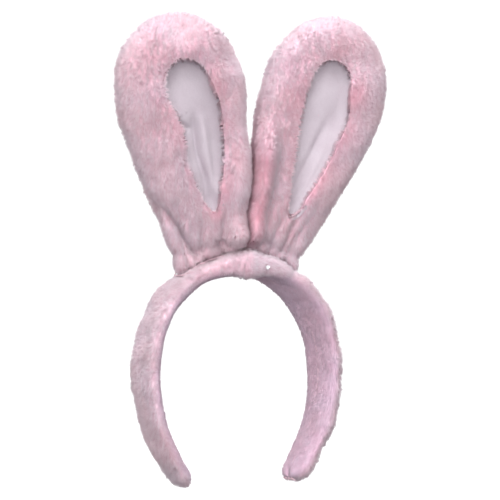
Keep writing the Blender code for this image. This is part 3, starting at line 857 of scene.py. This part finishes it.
def make_ear_threads(name):
    """The thread that gathers the ear's base, buried in the pile, and the one that sews the panel in."""
    turn = np.arange(90) * 2 * math.pi / 90
    half = float(np.interp(GATHER_HEIGHT, *ear_half()[:81].T[::-1])) - EAR_INSET - 0.002
    across = half * np.cos(turn)
    height = np.full_like(across, GATHER_HEIGHT)
    depth = np.sign(np.sin(turn)) * (ear_depth(across, height, name) - EAR_INSET - 0.0035)
    local = np.stack([across, depth, height], -1)
    piece = thread("ear_" + name + "_gathering", in_place(local, name), 0.0003, THREAD)
    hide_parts("ear_" + name + "_gather_thread")
    finish_ear_piece(piece)
    angle = ear_angles(420)
    distance, angle = panel_rim(angle, name, 0.0022)
    across, height = distance * np.sin(angle), EAR_MIDDLE - distance * np.cos(angle)
    local = from_polar(distance, angle, -ear_depth(across, height, name, 1) + 0.0034)
    piece = thread("ear_" + name + "_panel_sewing", in_place(local, name), 0.0003, THREAD)
    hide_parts("ear_" + name + "_panel_seam")
    finish_ear_piece(piece)


def make_knot():
    """The small knot of clear thread on the crown's front edge."""
    centre, _, _ = hoop(np.array(KNOT_PLACE))
    turn = np.linspace(0, 2 * math.pi, 90, endpoint=False)
    x, z = np.sin(turn) + 2 * np.sin(2 * turn), np.cos(turn) - 2 * np.cos(2 * turn)
    path = np.stack([x, -1.1 * np.sin(3 * turn), z], -1) * KNOT_RADIUS * 0.27
    sunk = np.array((0, COVER_WIDTH / 2 + 1.7 * KNOT_RADIUS, KNOT_RADIUS))
    piece = thread("knot_of_clear_thread", path + centre - sunk, 0.00042, CLEAR)
    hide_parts("thread_knot")
    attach(piece, "crown")


def make_ears():
    for name in SIDES:
        make_back(name)
        make_border(name)
        make_panel(name)
        make_ear_threads(name)


# ---------------------------------------------------------------- stage


def make_floor():
    rim = 6.0
    points = np.array([(-rim, -rim, -0.30), (rim, -rim, -0.30), (rim, rim, -0.30), (-rim, rim, -0.30)])
    made, tree, shader = new_material("pale_floor")
    pale = ramp(tree, noise(tree, 3), ((0.3, (0.93,) * 3), (0.7, (0.95,) * 3)))
    tree.links.new(pale, shader.inputs["Base Color"])
    shader.inputs["Roughness"].default_value = 0.9
    shader.inputs["Emission Color"].default_value = (1, 1, 1, 1)
    shader.inputs["Emission Strength"].default_value = 0.35
    floor, _ = new_mesh("floor", points, [np.array([(0, 1, 2, 3)])], made)
    floor.visible_diffuse = False
    floor.visible_glossy = False


def make_light(name, place, aim, size, energy):
    data = bpy.data.lights.new(name, "AREA")
    data.shape = "DISK"
    data.size = size
    data.energy = energy
    made = bpy.data.objects.new(name, data)
    made.location = place
    made.rotation_euler = (Vector(aim) - Vector(place)).to_track_quat("-Z", "Y").to_euler()
    bpy.context.scene.collection.objects.link(made)


def make_world():
    """White to the camera, and softer from below than from above to everything else."""
    world = bpy.data.worlds.new("studio")
    world.use_nodes = True
    tree = world.node_tree
    background = tree.nodes["Background"]
    background.inputs["Strength"].default_value = 1.2
    where = node(tree, "ShaderNodeTexCoord")
    split = node(tree, "ShaderNodeSeparateXYZ")
    tree.links.new(where.outputs["Generated"], split.inputs[0])
    spread = node(tree, "ShaderNodeMapRange")
    spread.inputs["From Min"].default_value = -1
    tree.links.new(split.outputs["Z"], spread.inputs["Value"])
    stops = (0.22, (0.40, 0.40, 0.41)), (0.5, (1.03, 1.03, 1.03)), (0.9, (0.84, 0.84, 0.84))
    sky = ramp(tree, spread.outputs[0], stops)
    seen = node(tree, "ShaderNodeLightPath")
    colour = mixed(tree, seen.outputs["Is Camera Ray"], sky, (1.0, 1.0, 1.0))
    tree.links.new(colour, background.inputs["Color"])
    bpy.context.scene.world = world


def make_camera():
    azimuth, elevation, distance = math.radians(-30), math.radians(-3.5), 1.1
    level = math.cos(elevation)
    back = Vector((math.sin(azimuth) * level, -math.cos(azimuth) * level, math.sin(elevation)))
    right = Vector((math.cos(azimuth), math.sin(azimuth), 0))
    aim = Vector((0, 0, CENTRE_HEIGHT)) + right * 0.0077 + back.cross(right) * 0.0093
    data = bpy.data.cameras.new("camera")
    data.lens = 123.4
    made = bpy.data.objects.new("camera", data)
    made.location = aim + back * distance
    made.rotation_euler = back.to_track_quat("Z", "Y").to_euler()
    bpy.context.scene.collection.objects.link(made)
    bpy.context.scene.camera = made


make_camera()
make_world()
make_floor()
make_light("key", (-0.35, -0.75, 1.25), (0, 0, 0.05), 0.9, 13.5)
make_light("fill", (-0.9, -1.1, 0.35), (0, 0, 0.05), 1.0, 8.5)
make_light("rim", (0.5, 1.2, 0.8), (0, 0, 0.05), 0.9, 8)
bpy.context.scene.view_settings.view_transform = "Standard"

repaint_cad()
for name in SIDES:
    make_band(name)
make_ears()
make_knot()
